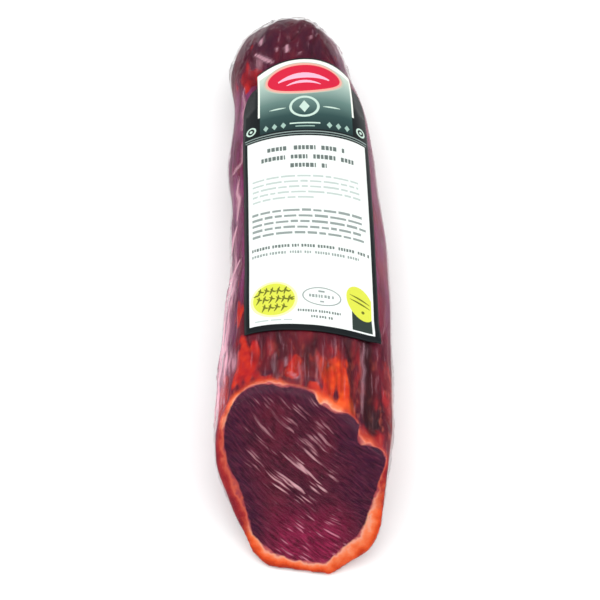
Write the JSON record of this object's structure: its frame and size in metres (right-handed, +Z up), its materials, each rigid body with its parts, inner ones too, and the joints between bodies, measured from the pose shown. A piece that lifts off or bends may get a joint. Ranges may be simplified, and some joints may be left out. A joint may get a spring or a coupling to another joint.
{
  "type": "vacuum packed half of a cured pork loin",
  "caption": "Half of a cured pork loin, cut on a slant to show its marbled meat, sealed in clear skin-tight film with a black-bordered paper label on top.",
  "frame": {"origin": "on the floor under the middle of the loin's footprint", "axes": "+Z up, +Y along the loin from the slanted cut to the rounded far end, +X to the right when looking at the cut"},
  "size_m": [0.079, 0.2924, 0.0529],
  "materials": {
    "packed_loin": "clear glossy vacuum film drawn tight over dark wine-red cured meat with paprika on its rind",
    "label_paper": "white coated paper with a black printed border and a dark header"
  },
  "bodies": {
    "root": {"packed_loin": "packed_loin", "label": "label_paper"}
  },
  "joints": []
}
